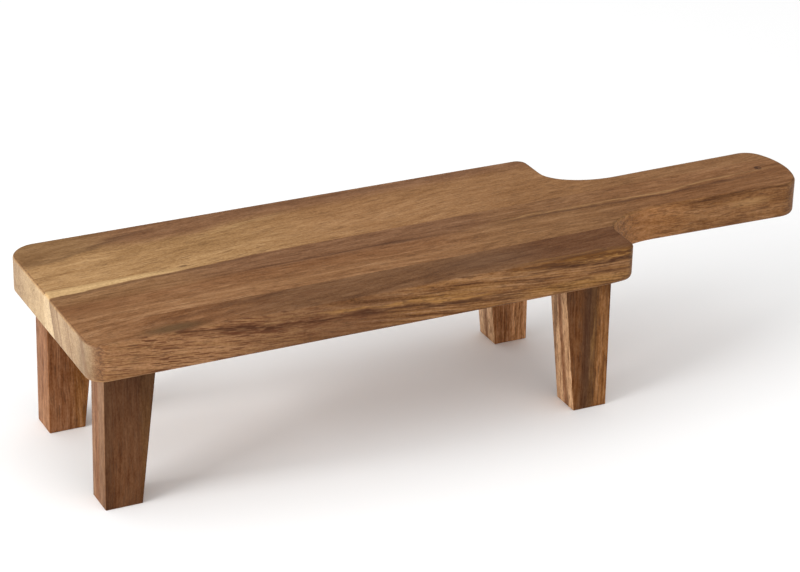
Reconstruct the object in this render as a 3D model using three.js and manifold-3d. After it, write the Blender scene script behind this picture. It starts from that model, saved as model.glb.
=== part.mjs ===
// A serving board on legs: an edge-glued panel of three staves with a paddle handle, standing on
// four tapered legs, each held by two blind dowels.
// Millimetres, +Z up. The origin is on the table under the middle of the board's length and width.
// +X points to the handle, -Y is the front.

import * as THREE from "three";
import { mergeVertices } from "three/addons/utils/BufferGeometryUtils.js";
import Module from "manifold-3d";

// Panel
const BODY_LENGTH = 334.5; // from the plain end to the shoulders
const BOARD_THICKNESS = 22;
const BACK_CORNER_RADIUS = 16.5; // the plain end's back corner, in plan
const FRONT_CORNER_RADIUS = 10.5; // the plain end's front corner, in plan
const SHOULDER_RADIUS = 6.8; // the two corners beside the handle, in plan
const EDGE_ROUND = 1.8; // along every top and bottom edge

// Handle
const HANDLE_LENGTH = 145.5; // from the shoulders to the tip
const NECK_WIDTH = 51;
const NECK_CURVE_LENGTH = 38; // the hollow curve from shoulder to neck, along the board
const NECK_CURVE_DEPTH = 22; // the same curve, across the board
const HANDLE_END_WIDTH = 55.6; // the sides flare to this at the tip
const HANDLE_CORNER_RADIUS = 14.2;
const HANDLE_CROWN_RADIUS = 45.6; // the gently rounded tip

// Staves, measured across the board at the middle of its length
const BACK_STAVE_WIDTH = 62.8;
const CENTRE_STAVE_WIDTH = 50;
const FRONT_STAVE_WIDTH = 28.8;
const STAVE_ANGLE_DEG = 1; // the glue lines run a little askew to the board
const GLUE_LINE = 0.15; // room for glue between two staves, and between a leg and the panel

// Legs: the outer face is almost upright and the inner face slopes
const LEG_HEIGHT = 85.1;
const LEG_TOP_LENGTH = 30.7;
const LEG_FOOT_LENGTH = 22;
const LEG_SPLAY = 0.8; // how far the foot stands out past the top of the outer face
const LEG_DEPTH = 20;
const LEG_EASE = 0.7; // small bevel along the long edges
const FRONT_LEG_END_INSET = 11.2; // from the plain end to the front left leg
const BACK_LEG_END_INSET = 12.8; // from the plain end to the back left leg
const FRONT_LEG_SHOULDER_INSET = 8.9; // from the shoulders to the front right leg
const BACK_LEG_SHOULDER_INSET = 10.6; // from the shoulders to the back right leg
const LEG_SIDE_INSET = 12.3; // from the long sides to the legs

// Dowels
const DOWEL_DIAMETER = 8;
const DOWEL_SPACING = 13; // between the two dowels of a leg
const DOWEL_IN_BOARD = 12;
const DOWEL_IN_LEG = 16;
const DOWEL_CHAMFER = 0.8;
const DOWEL_CLEARANCE = 0.25; // gap round a dowel in its hole
const DOWEL_POCKET = 0.6; // room for glue past each end of a dowel

// Fineness of the curved faces
const CURVE_STEPS = 12;
const ROUND_STEPS = 3;
const EASE_STEPS = 1;
const DOWEL_SIDES = 20;

// Sizes that follow from the ones above
const OVERALL_LENGTH = BODY_LENGTH + HANDLE_LENGTH;
const BOARD_WIDTH = BACK_STAVE_WIDTH + CENTRE_STAVE_WIDTH + FRONT_STAVE_WIDTH;
const PLAIN_END_X = -OVERALL_LENGTH / 2;
const SHOULDER_X = PLAIN_END_X + BODY_LENGTH;
const TIP_X = SHOULDER_X + HANDLE_LENGTH;
const PANEL_BOTTOM_Z = LEG_HEIGHT + GLUE_LINE;
const DOWEL_LENGTH = DOWEL_IN_LEG + GLUE_LINE + DOWEL_IN_BOARD;
const HOLE_RADIUS = DOWEL_DIAMETER / 2 + DOWEL_CLEARANCE;

const QUARTER = Math.PI / 2;

const wasm = await Module();
wasm.setup();

// A closed geometry as a solid that can be joined and cut.
function solidOf(geometry) {
  const bare = geometry.clone();
  bare.deleteAttribute("normal");
  bare.deleteAttribute("uv");
  const merged = mergeVertices(bare);
  return new wasm.Manifold(
    new wasm.Mesh({
      numProp: 3,
      vertProperties: merged.getAttribute("position").array,
      triVerts: new Uint32Array(merged.index.array),
    }),
  );
}

// The solid back as a geometry for a mesh.
function geometryOf(solid) {
  const mesh = solid.getMesh();
  const geometry = new THREE.BufferGeometry();
  geometry.setAttribute("position", new THREE.BufferAttribute(mesh.vertProperties, mesh.numProp));
  geometry.setIndex(new THREE.BufferAttribute(mesh.triVerts, 1));
  geometry.computeVertexNormals();
  return geometry;
}

function woodMesh(name, geometry, material) {
  const mesh = new THREE.Mesh(geometry, material);
  mesh.name = name;
  return mesh;
}

function wood(color, roughness) {
  return new THREE.MeshStandardMaterial({ color, roughness, metalness: 0 });
}

// The round corner between the handle's back side and its crowned tip: a circle that touches both.
function handleCorner() {
  const neckX = SHOULDER_X + NECK_CURVE_LENGTH;
  const flare = Math.atan2((HANDLE_END_WIDTH - NECK_WIDTH) / 2, TIP_X - neckX);
  const along = new THREE.Vector2(Math.cos(flare), Math.sin(flare));
  const inward = new THREE.Vector2(Math.sin(flare), -Math.cos(flare));
  const crownX = TIP_X - HANDLE_CROWN_RADIUS;
  const start = new THREE.Vector2(neckX, NECK_WIDTH / 2).addScaledVector(inward, HANDLE_CORNER_RADIUS);
  const fromCrown = start.clone().sub(new THREE.Vector2(crownX, 0));
  const reach = HANDLE_CROWN_RADIUS - HANDLE_CORNER_RADIUS;
  const half = fromCrown.dot(along);
  const distance = -half + Math.sqrt(half * half - fromCrown.lengthSq() + reach * reach);
  const centre = start.addScaledVector(along, distance);
  return { centre, crownX, sideAngle: QUARTER + flare, tipAngle: Math.atan2(centre.y, centre.x - crownX) };
}

// A quarter turn of the outline round one corner of the plain end.
function plainCorner(outline, radius, y, startAngle) {
  outline.absarc(PLAIN_END_X + radius, y, radius, startAngle, startAngle + QUARTER, false);
}

// The board seen from above, run round counter-clockwise from the plain end's front corner.
function boardOutline() {
  const side = BOARD_WIDTH / 2;
  const neck = NECK_WIDTH / 2;
  const neckX = SHOULDER_X + NECK_CURVE_LENGTH;
  const hollowY = neck + NECK_CURVE_DEPTH;
  const shoulderX = SHOULDER_X - SHOULDER_RADIUS;
  const shoulderY = side - SHOULDER_RADIUS;
  const { centre, crownX, sideAngle, tipAngle } = handleCorner();
  const tip = HANDLE_CORNER_RADIUS;
  const outline = new THREE.Shape();
  outline.moveTo(PLAIN_END_X + FRONT_CORNER_RADIUS, -side);
  outline.absarc(shoulderX, -shoulderY, SHOULDER_RADIUS, -QUARTER, 0, false);
  outline.absellipse(neckX, -hollowY, NECK_CURVE_LENGTH, NECK_CURVE_DEPTH, 2 * QUARTER, QUARTER, true);
  outline.absarc(centre.x, -centre.y, tip, -sideAngle, -tipAngle, false);
  outline.absarc(crownX, 0, HANDLE_CROWN_RADIUS, -tipAngle, tipAngle, false);
  outline.absarc(centre.x, centre.y, tip, tipAngle, sideAngle, false);
  outline.absellipse(neckX, hollowY, NECK_CURVE_LENGTH, NECK_CURVE_DEPTH, -QUARTER, -2 * QUARTER, true);
  outline.absarc(shoulderX, shoulderY, SHOULDER_RADIUS, 0, QUARTER, false);
  plainCorner(outline, BACK_CORNER_RADIUS, side - BACK_CORNER_RADIUS, QUARTER);
  plainCorner(outline, FRONT_CORNER_RADIUS, FRONT_CORNER_RADIUS - side, 2 * QUARTER);
  return outline;
}

// The whole panel as if it were one plank, with its edges rounded over.
function panelBlank() {
  const geometry = new THREE.ExtrudeGeometry(boardOutline(), {
    depth: BOARD_THICKNESS - 2 * EDGE_ROUND,
    curveSegments: CURVE_STEPS,
    bevelEnabled: true,
    bevelThickness: EDGE_ROUND,
    bevelSize: EDGE_ROUND,
    bevelOffset: -EDGE_ROUND,
    bevelSegments: ROUND_STEPS,
  });
  geometry.translate(0, 0, EDGE_ROUND);
  return solidOf(geometry);
}

// One stave's share of the panel, between two lines askew to it, given where they cross the middle.
function staveBand(frontY, backY) {
  const angle = THREE.MathUtils.degToRad(STAVE_ANGLE_DEG);
  const width = (backY - frontY) * Math.cos(angle) - GLUE_LINE;
  const band = new THREE.BoxGeometry(2 * OVERALL_LENGTH, width, 2 * BOARD_THICKNESS);
  band.rotateZ(angle);
  band.translate(0, (frontY + backY) / 2, BOARD_THICKNESS / 2);
  return solidOf(band);
}

// Where each leg stands: the middle of its outer face, and which way is inward along X.
function legPlaces() {
  const y = BOARD_WIDTH / 2 - LEG_SIDE_INSET - LEG_DEPTH / 2;
  return [
    { name: "front_left", x: PLAIN_END_X + FRONT_LEG_END_INSET, y: -y, inward: 1 },
    { name: "front_right", x: SHOULDER_X - FRONT_LEG_SHOULDER_INSET, y: -y, inward: -1 },
    { name: "back_left", x: PLAIN_END_X + BACK_LEG_END_INSET, y, inward: 1 },
    { name: "back_right", x: SHOULDER_X - BACK_LEG_SHOULDER_INSET, y, inward: -1 },
  ];
}

// How far each dowel of a leg lies in from the leg's outer face.
function dowelOffsets() {
  const middle = LEG_TOP_LENGTH / 2;
  return { outer: middle - DOWEL_SPACING / 2, inner: middle + DOWEL_SPACING / 2 };
}

// A round cutter for a dowel hole that is open at both ends of its height.
function holeCutter(x, y, bottomZ, topZ) {
  const cutter = new THREE.CylinderGeometry(HOLE_RADIUS, HOLE_RADIUS, topZ - bottomZ, DOWEL_SIDES);
  cutter.rotateX(QUARTER);
  cutter.translate(x, y, (bottomZ + topZ) / 2);
  return solidOf(cutter);
}

// The panel with its blind dowel holes, drilled from below.
function drilledPanel() {
  let panel = panelBlank();
  const depth = DOWEL_IN_BOARD + DOWEL_POCKET;
  for (const place of legPlaces()) {
    for (const offset of Object.values(dowelOffsets())) {
      panel = panel.subtract(holeCutter(place.x + place.inward * offset, place.y, -depth, depth));
    }
  }
  return panel;
}

// The staves: the drilled panel parted along its glue lines.
function makeStaves() {
  const panel = drilledPanel();
  const side = BOARD_WIDTH / 2;
  const frontLine = FRONT_STAVE_WIDTH - side;
  const backLine = side - BACK_STAVE_WIDTH;
  const bands = {
    front_stave: { band: staveBand(frontLine - BOARD_WIDTH, frontLine), material: wood(0x6f4f37, 0.48) },
    centre_stave: { band: staveBand(frontLine, backLine), material: wood(0x86634a, 0.46) },
    back_stave: { band: staveBand(backLine, backLine + BOARD_WIDTH), material: wood(0x8e6c48, 0.45) },
  };
  const group = new THREE.Group();
  group.position.z = PANEL_BOTTOM_Z;
  for (const [name, { band, material }] of Object.entries(bands)) {
    group.add(woodMesh(name, geometryOf(panel.intersect(band)), material));
  }
  return group;
}

// A leg in its own frame: the top of the outer face lies on X = 0, and the foot is on Z = 0.
function legGeometry() {
  const profile = new THREE.Shape();
  profile.moveTo(-LEG_SPLAY, 0);
  profile.lineTo(LEG_FOOT_LENGTH - LEG_SPLAY, 0);
  profile.lineTo(LEG_TOP_LENGTH, LEG_HEIGHT);
  profile.lineTo(0, LEG_HEIGHT);
  const depth = LEG_DEPTH - 2 * LEG_EASE;
  const block = new THREE.ExtrudeGeometry(profile, {
    depth,
    bevelEnabled: true,
    bevelThickness: LEG_EASE,
    bevelSize: LEG_EASE,
    bevelOffset: -LEG_EASE,
    bevelSegments: EASE_STEPS,
  });
  block.translate(0, 0, -depth / 2);
  block.rotateX(QUARTER);
  let leg = solidOf(block);
  const depthInLeg = DOWEL_IN_LEG + DOWEL_POCKET;
  for (const offset of Object.values(dowelOffsets())) {
    leg = leg.subtract(holeCutter(offset, 0, LEG_HEIGHT - depthInLeg, LEG_HEIGHT + depthInLeg));
  }
  return geometryOf(leg);
}

// A dowel pin with chamfered ends, standing on Z = 0.
function dowelGeometry() {
  const radius = DOWEL_DIAMETER / 2;
  const profile = [
    new THREE.Vector2(0, 0),
    new THREE.Vector2(radius - DOWEL_CHAMFER, 0),
    new THREE.Vector2(radius, DOWEL_CHAMFER),
    new THREE.Vector2(radius, DOWEL_LENGTH - DOWEL_CHAMFER),
    new THREE.Vector2(radius - DOWEL_CHAMFER, DOWEL_LENGTH),
    new THREE.Vector2(0, DOWEL_LENGTH),
  ];
  const pin = new THREE.LatheGeometry(profile, DOWEL_SIDES);
  pin.rotateX(QUARTER);
  return geometryOf(solidOf(pin));
}

// One leg with its two dowels, turned so that its sloped face looks to the middle of the board.
function makeLeg({ name, x, y, inward }) {
  const group = new THREE.Group();
  group.position.set(x, y, 0);
  group.rotation.z = inward > 0 ? 0 : Math.PI;
  group.add(woodMesh(`${name}_leg`, legGeometry(), wood(0x74492f, 0.5)));
  for (const [which, offset] of Object.entries(dowelOffsets())) {
    const dowel = woodMesh(`${name}_dowel_${which}`, dowelGeometry(), wood(0xcdb28a, 0.65));
    dowel.position.set(offset, 0, LEG_HEIGHT - DOWEL_IN_LEG);
    group.add(dowel);
  }
  return group;
}

const board = new THREE.Group();
board.add(makeStaves());
for (const place of legPlaces()) board.add(makeLeg(place));

export default board;
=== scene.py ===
"""A serving board on legs: three glued staves with a paddle handle, four tapered legs and their dowels.

Metres, +Z up. The origin is on the table under the middle of the board, +X points to the handle and
-Y is the front. Inside the finishes, places and sizes on the wood are given in millimetres.
"""

import math
from collections import namedtuple
import bmesh
import bpy
from bpy.props import FloatProperty, FloatVectorProperty, IntProperty, PointerProperty
from mathutils import Matrix, Vector, noise


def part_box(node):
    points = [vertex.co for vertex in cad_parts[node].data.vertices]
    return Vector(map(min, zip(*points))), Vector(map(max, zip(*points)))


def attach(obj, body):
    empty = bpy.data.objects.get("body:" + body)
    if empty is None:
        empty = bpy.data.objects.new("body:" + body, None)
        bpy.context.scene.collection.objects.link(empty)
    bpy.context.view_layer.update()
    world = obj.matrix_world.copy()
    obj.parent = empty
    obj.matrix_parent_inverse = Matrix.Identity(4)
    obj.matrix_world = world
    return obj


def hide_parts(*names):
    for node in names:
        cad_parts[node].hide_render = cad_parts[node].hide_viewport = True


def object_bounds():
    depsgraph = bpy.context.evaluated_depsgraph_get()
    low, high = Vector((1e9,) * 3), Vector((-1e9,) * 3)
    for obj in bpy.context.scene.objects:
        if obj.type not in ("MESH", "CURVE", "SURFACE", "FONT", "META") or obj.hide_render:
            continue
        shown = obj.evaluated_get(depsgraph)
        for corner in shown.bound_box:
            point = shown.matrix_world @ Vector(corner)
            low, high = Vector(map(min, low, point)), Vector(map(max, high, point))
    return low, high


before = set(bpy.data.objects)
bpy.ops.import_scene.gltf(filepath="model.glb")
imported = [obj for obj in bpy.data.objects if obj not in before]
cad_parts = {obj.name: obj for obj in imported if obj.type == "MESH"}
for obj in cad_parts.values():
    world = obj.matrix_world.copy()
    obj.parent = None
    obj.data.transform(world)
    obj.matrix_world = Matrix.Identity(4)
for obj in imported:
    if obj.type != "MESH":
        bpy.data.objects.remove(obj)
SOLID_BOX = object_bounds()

bl_info = {
    "name": "Serving Board",
    "version": (1, 0, 0),
    "blender": (4, 5, 0),
    "location": "View3D > Sidebar > Serving Board",
    "description": "Makes a wooden serving board on four legs, with its stage",
    "category": "Object",
}

TO_MM = 1000.0
QUARTER = math.pi / 2

STAVES = ("back_stave", "centre_stave", "front_stave")
CORNERS = ("front_left", "front_right", "back_left", "back_right")
DOWEL_ENDS = ("outer", "inner")

BOARD_LOW = Vector(SOLID_BOX[0])
BOARD_HIGH = Vector(SOLID_BOX[1])
PANEL_LOW, PANEL_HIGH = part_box("centre_stave")

# How finely the shapes are made
OUTLINE_STEP = 0.006
CROWN_STEPS = 12
TIP_STEPS = 18
NECK_STEPS = 28
SHOULDER_STEPS = 14
PLAIN_END_STEPS = 22
EDGE_STEPS = 7
EDGE_MARGIN = 0.0009
SAW_TOLERANCE = 1e-7
LEG_LEVELS = 6
EASE_STEPS = 4
EASED_FOLD = 0.5
POINTS_PER_FLUTE = 6
CHAMFERS_TO_SHANK = 2.5
HOLE_SIDES = 48
SHARP_FOLD = math.radians(38)

# How hand work strays from true: ripples to the metre with their seed, the share of an edge's rounding
# that varies, and how far the worn corner reaches
SANDING_RIPPLE = (28, 4.2)
EDGE_RIPPLE = (16, 9.7)
EDGE_STRAY = 0.12
WORN_REACH = 0.012

# The stage: the lights' sizes and places, how the sky brightens from low to overhead, the floor and
# the camera
LIGHT_TARGET = (0.0, 0.0, 0.06)
KEY_SIZE = 1.1
KEY_PLACE = (-2.1, -0.34, 0.56)
FILL_SIZE = 1.6
FILL_PLACE = (0.5, -2.2, 0.75)
SKY_HEIGHTS = (0.25, 0.9)
SKY_LEVELS = (0.4, 1.35)
FLOOR_SQUARES = 8
FLOOR_ROUGHNESS = 0.9
FLOOR_SPECULAR = 0.1
SENSOR_WIDTH = 36.0
CAMERA_REACH = 50.0


def tone(red, green, blue):
    """A colour as a picture shows it, 0 to 255, as the light values that a shader takes."""
    levels = []
    for level in (red, green, blue):
        share = level / 255
        levels.append(share / 12.92 if share <= 0.04045 else ((share + 0.055) / 1.055) ** 2.4)
    return tuple(levels)


def length(name, description, default):
    """A size in metres that a user may change."""
    return FloatProperty(
        name=name, description=description, default=default, min=0.0, unit="LENGTH", precision=5
    )


def colour(name, description, default):
    """A colour that a user may change."""
    return FloatVectorProperty(
        name=name, description=description, default=default, min=0.0, max=1.0, subtype="COLOR", size=3
    )


def angle(name, description, degrees):
    """An angle that a user may change."""
    return FloatProperty(
        name=name, description=description, default=math.radians(degrees), subtype="ANGLE", unit="ROTATION"
    )


def amount(name, description, default, unit="NONE"):
    """A strength or another plain number that a user may change."""
    return FloatProperty(name=name, description=description, default=default, min=0.0, unit=unit)


class PanelSizes(bpy.types.PropertyGroup):
    """Sizes of the panel, its handle and its glue lines."""

    body_length: length("Body length", "From the plain end to the shoulders", 0.3345)
    back_corner: length("Back corner", "Radius of the plain end's back corner, in plan", 0.0165)
    front_corner: length("Front corner", "Radius of the plain end's front corner, in plan", 0.0105)
    shoulder_radius: length("Shoulder radius", "The two corners beside the handle, in plan", 0.0068)
    edge_round: length("Edge round", "Rounding along the top and bottom edges", 0.0018)
    worn_corner: length("Worn corner", "More rounding under the front shoulder", 0.0026)
    sanding: length("Sanding", "How far hand sanding strays from the true outline", 0.00012)
    neck_width: length("Neck width", "The narrowest part of the handle", 0.051)
    neck_curve_length: length("Neck curve length", "Hollow curve to the neck, along the board", 0.038)
    neck_curve_depth: length("Neck curve depth", "Hollow curve to the neck, across the board", 0.022)
    handle_end_width: length("Handle end width", "The sides flare to this at the tip", 0.0556)
    handle_corner_radius: length("Handle corner radius", "The two corners of the tip", 0.0142)
    handle_crown_radius: length("Handle crown radius", "The gently rounded tip", 0.0456)
    back_stave_width: length("Back stave width", "At the middle of the board's length", 0.0628)
    front_stave_width: length("Front stave width", "At the middle of the board's length", 0.0288)
    glue_line: length("Glue line", "The hair line of glue between two staves", 0.00003)
    stave_angle: angle("Stave angle", "How far askew the glue lines run", 1.0)


class LegSizes(bpy.types.PropertyGroup):
    """Sizes of the four legs."""

    foot_length: length("Foot length", "The leg's length along the board, at the floor", 0.022)
    splay: length("Splay", "How far the foot stands out past the top of the outer face", 0.0008)
    ease: length("Ease", "Small rounding along every edge of a leg", 0.0006)


class DowelSizes(bpy.types.PropertyGroup):
    """Sizes of the dowel pins and of the holes that they sit in."""

    chamfer: length("Chamfer", "Slanted edge at each end of a pin", 0.0008)
    flute_depth: length("Flute depth", "Glue grooves pressed into the side of a pin", 0.00025)
    flutes: IntProperty(name="Flutes", description="Glue grooves round a pin", default=18, min=6)
    clearance: length("Clearance", "Gap round a pin in its hole", 0.00025)
    pocket: length("Pocket", "Room for glue in a hole past each end of a pin", 0.0006)


class WoodColours(bpy.types.PropertyGroup):
    """Colours of the oiled wood."""

    honey: colour("Honey", "The clear yellow tan at the plain end of the back stave", tone(161, 122, 78))
    tan: colour("Tan", "The tan in the middle of the back stave", tone(146, 104, 64))
    amber: colour("Amber", "The tan of the back stave beside the handle", tone(143, 101, 62))
    far_brown: colour("Far brown", "The brown band along the far edge", tone(128, 88, 58))
    far_olive: colour("Far olive", "The olive tan of the far plain corner", tone(123, 88, 52))
    handle_brown: colour("Handle brown", "The red brown of the handle", tone(128, 85, 49))
    handle_tan: colour("Handle tan", "The handle's lighter back half and front side", tone(136, 95, 58))
    sapwood: colour("Sapwood", "The cream wedge at the plain end", tone(192, 156, 108))
    plum: colour("Plum", "The purple brown beside the back glue line", tone(124, 85, 55))
    fawn: colour("Fawn", "The lighter ends of the centre stave", tone(137, 98, 61))
    russet: colour("Russet", "The red brown in the middle of the centre stave", tone(126, 83, 48))
    rose_tan: colour("Rose tan", "The pale band beside the front glue line", tone(138, 96, 60))
    umber: colour("Umber", "The dark grey brown on top of the front stave", tone(100, 62, 33))
    bronze: colour("Bronze", "The brown in the middle of the front stave's top", tone(111, 75, 45))
    chestnut: colour("Chestnut", "The tan of the front side", tone(139, 98, 64))
    side_brown: colour("Side brown", "The front side's right half and by the handle", tone(128, 88, 53))
    dusk: colour("Dusk", "The dark left middle of the front side", tone(117, 80, 50))
    redwood: colour("Redwood", "Red brown patch, streak and dashes on the front side", tone(90, 52, 29))
    moss: colour("Moss", "A greenish dark patch on top of the front stave", tone(90, 66, 38))
    olive_dark: colour("Olive dark", "The dark upper right of the front side", tone(96, 59, 23))
    olive_gold: colour("Olive gold", "A greenish gold in the front side", tone(147, 106, 61))
    gold: colour("Gold", "Yellow streaks in the front side", tone(168, 122, 66))
    streak: colour("Streak", "Dark streaks between the growth layers", tone(66, 36, 17))
    pore: colour("Pore", "Open pores along the grain", tone(64, 36, 17))
    slate: colour("Slate", "A cool grey patch on top of the front stave", tone(98, 70, 50))
    end_grain: colour("End grain", "The pale sawn ends", tone(144, 119, 90))
    end_dusk: colour("End dusk", "The sawn end beside the front corner", tone(122, 99, 74))
    corner_grey: colour("Corner grey", "Where a sawn end turns into a side", tone(88, 61, 43))
    pale_end: colour("Pale end", "The palest part of the sawn plain end", tone(159, 134, 101))
    handle_end: colour("Handle end", "The sawn tip and neck, dark with oil", tone(135, 93, 57))
    end_ring: colour("End ring", "Growth rings on the sawn ends", tone(104, 74, 52))
    sawn_sapwood: colour("Sawn sapwood", "The cream wedge on the sawn end", tone(174, 150, 117))
    leg_brown: colour("Leg brown", "The legs", tone(91, 54, 27))
    leg_russet: colour("Leg russet", "Red brown growth in the front right leg", tone(103, 61, 27))
    leg_red: colour("Leg red", "Redder growth in the legs", tone(120, 75, 44))
    leg_gold: colour("Leg gold", "Yellow growth in the legs", tone(134, 87, 45))
    leg_amber: colour("Leg amber", "Clear growth in the back right leg", tone(147, 97, 60))
    # Partly painted light: lightened to stand in for light that the board keeps off the back right leg's
    # front
    leg_rust: colour("Leg rust", "Light red growth in the back right leg", tone(190, 136, 91))
    leg_olive: colour("Leg olive", "Greenish growth in the legs", tone(103, 68, 35))
    leg_dark: colour("Leg dark", "Dark growth in the legs", tone(76, 45, 22))
    # Painted shade: laid on the tops of the legs where the board shades them
    leg_shadow: colour("Leg shadow", "The darkened tops of the legs", tone(58, 33, 14))
    leg_pink: colour("Leg pink", "The pinkish outer faces of the left legs", tone(111, 79, 54))
    # Partly painted light: paler than the wood, to stand in for light that the board keeps off these faces
    leg_tan: colour("Leg tan", "The pale inner faces of the right legs", tone(176, 135, 98))
    leg_orange: colour("Leg orange", "Orange growth on the sides of the legs", tone(122, 80, 49))
    beech: colour("Beech", "The dowel pins", tone(206, 172, 128))


class StageSetup(bpy.types.PropertyGroup):
    """Floor, light and camera."""

    floor_size: length("Floor size", "Side of the square floor", 30.0)
    floor_colour: colour("Floor colour", "The pale floor", (0.97, 0.97, 0.97))
    sky: amount("Sky", "Strength of the light from all round", 0.86)
    key_power: amount("Key power", "Light from the left", 52.0, "POWER")
    fill_power: amount("Fill power", "Light from the front", 10.0, "POWER")
    focal_length: amount("Focal length", "Of the camera's lens", 124.03, "CAMERA")
    view_distance: length("View distance", "From the camera to the point it looks at", 1.64574)
    view_point: FloatVectorProperty(
        name="View point",
        description="The point that the camera looks at",
        default=(-0.01082, 0.02466, 0.06),
        subtype="TRANSLATION",
        unit="LENGTH",
    )
    view_azimuth: angle("View azimuth", "Round the board, from straight in front", -26.39)
    view_elevation: angle("View elevation", "Above the horizon", 25.234)
    view_roll: angle("View roll", "Tilt of the picture", 1.29)


class ServingBoard(bpy.types.PropertyGroup):
    """Everything about the board that a user may change."""

    panel: PointerProperty(type=PanelSizes)
    leg: PointerProperty(type=LegSizes)
    dowel: PointerProperty(type=DowelSizes)
    wood: PointerProperty(type=WoodColours)
    stage: PointerProperty(type=StageSetup)


# Panel outline


def arc(centre, radius_x, radius_y, start, stop, steps):
    """Points along part of an ellipse, both ends among them."""
    points = []
    for step in range(steps + 1):
        turn = start + (stop - start) * step / steps
        points.append(
            Vector((centre[0] + radius_x * math.cos(turn), centre[1] + radius_y * math.sin(turn)))
        )
    return points


def handle_corner(size, neck_x, tip_x):
    """The round corner between the handle's side and its crowned tip: a circle that touches both."""
    flare = math.atan2((size.handle_end_width - size.neck_width) / 2, tip_x - neck_x)
    along = Vector((math.cos(flare), math.sin(flare)))
    inward = Vector((math.sin(flare), -math.cos(flare)))
    crown = Vector((tip_x - size.handle_crown_radius, 0.0))
    start = Vector((neck_x, size.neck_width / 2)) + inward * size.handle_corner_radius
    reach = size.handle_crown_radius - size.handle_corner_radius
    half = (start - crown).dot(along)
    distance = -half + math.sqrt(half * half - (start - crown).length_squared + reach * reach)
    centre = start + along * distance
    return centre, crown, QUARTER + flare, math.atan2(centre.y, centre.x - crown.x)


def half_outline(size, end):
    """Half of the outline, from the middle of the tip round a corner to the middle of the plain end."""
    side = (BOARD_HIGH.y - BOARD_LOW.y) / 2
    shoulder_x = BOARD_LOW.x + size.body_length
    neck_x = shoulder_x + size.neck_curve_length
    tip_x = BOARD_HIGH.x
    hollow = (neck_x, size.neck_width / 2 + size.neck_curve_depth)
    corner, crown, side_turn, tip_turn = handle_corner(size, neck_x, tip_x)
    tip = size.handle_corner_radius
    shoulder = size.shoulder_radius
    crown_radius = size.handle_crown_radius
    points = arc(crown, crown_radius, crown_radius, 0.0, tip_turn, CROWN_STEPS)
    points += arc(corner, tip, tip, tip_turn, side_turn, TIP_STEPS)[1:]
    points += arc(hollow, size.neck_curve_length, size.neck_curve_depth, -QUARTER, -math.pi, NECK_STEPS)
    shoulder_centre = (shoulder_x - shoulder, side - shoulder)
    points += arc(shoulder_centre, shoulder, shoulder, 0.0, QUARTER, SHOULDER_STEPS)
    points += arc((BOARD_LOW.x + end, side - end), end, end, QUARTER, math.pi, PLAIN_END_STEPS)
    points.append(Vector((BOARD_LOW.x, 0.0)))
    return points


def board_outline(size):
    """The board seen from above, counter-clockwise, with long straights split into short ones."""
    back = half_outline(size, size.back_corner)
    front = half_outline(size, size.front_corner)
    corners = back + [Vector((point.x, -point.y)) for point in reversed(front[1:-1])]
    outline = []
    for here, ahead in zip(corners, corners[1:] + corners[:1]):
        steps = max(1, round((ahead - here).length / OUTLINE_STEP))
        for step in range(steps):
            outline.append(here.lerp(ahead, step / steps))
    return outline


def outward(outline):
    """The direction straight out from each point of the outline."""
    count = len(outline)
    directions = []
    for place in range(count):
        run = outline[(place + 1) % count] - outline[place - 1]
        directions.append(Vector((run.y, -run.x)).normalized())
    return directions


def ripple(point, waves, seed):
    """How hand work strays at a point of the outline, about -1 to 1."""
    return noise.noise(Vector((point.x * waves, point.y * waves, seed)))


def sanded(outline, directions, stray):
    """The outline as a hand leaves it after sanding: a hair in or out of true."""
    points = []
    for point, out in zip(outline, directions):
        points.append(point + out * (stray * (ripple(point, *SANDING_RIPPLE) - 0.5)))
    return points


# Panel and staves


def skin(rings, shape=None):
    """A closed skin over rings of points that lie one above the other, added to a shape or a new one."""
    if shape is None:
        shape = bmesh.new()
    rows = [[shape.verts.new(point) for point in ring] for ring in rings]
    for lower, upper in zip(rows, rows[1:]):
        for place in range(len(lower)):
            ahead = (place + 1) % len(lower)
            shape.faces.new((lower[place], lower[ahead], upper[ahead], upper[place]))
    shape.faces.new(list(reversed(rows[0])))
    shape.faces.new(rows[-1])
    return shape


def edge_profile(low_round, high_round):
    """Steps up the panel's side: how far in from the outline, and how high, from bottom to top."""
    low = PANEL_LOW.z
    high = PANEL_HIGH.z
    turns = [QUARTER * step / EDGE_STEPS for step in range(EDGE_STEPS + 1)]
    profile = [(low_round + EDGE_MARGIN, low)]
    for turn in turns:
        profile.append((low_round * (1 - math.sin(turn)), low + low_round * (1 - math.cos(turn))))
    profile.append((0.0, low + low_round + EDGE_MARGIN))
    profile.append((0.0, (low + high) / 2))
    profile.append((0.0, high - high_round - EDGE_MARGIN))
    for turn in turns:
        profile.append((high_round * (1 - math.cos(turn)), high - high_round * (1 - math.sin(turn))))
    profile.append((high_round + EDGE_MARGIN, high))
    return profile


def panel_blank(size):
    """The whole panel as one plank, its edges rounded over by hand."""
    outline = board_outline(size)
    directions = outward(outline)
    worn = Vector((BOARD_LOW.x + size.body_length, BOARD_LOW.y))
    columns = []
    for point, out in zip(sanded(outline, directions, size.sanding), directions):
        stray = EDGE_STRAY * ripple(point, *EDGE_RIPPLE)
        near_worn = math.exp(-((point - worn).length / WORN_REACH) ** 2)
        high_round = size.edge_round * (1 + stray)
        low_round = size.edge_round * (1 - stray) + size.worn_corner * near_worn
        column = []
        for inset, height in edge_profile(low_round, high_round):
            column.append((point.x - out.x * inset, point.y - out.y * inset, height))
        columns.append(column)
    return skin(list(zip(*columns)))


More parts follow.
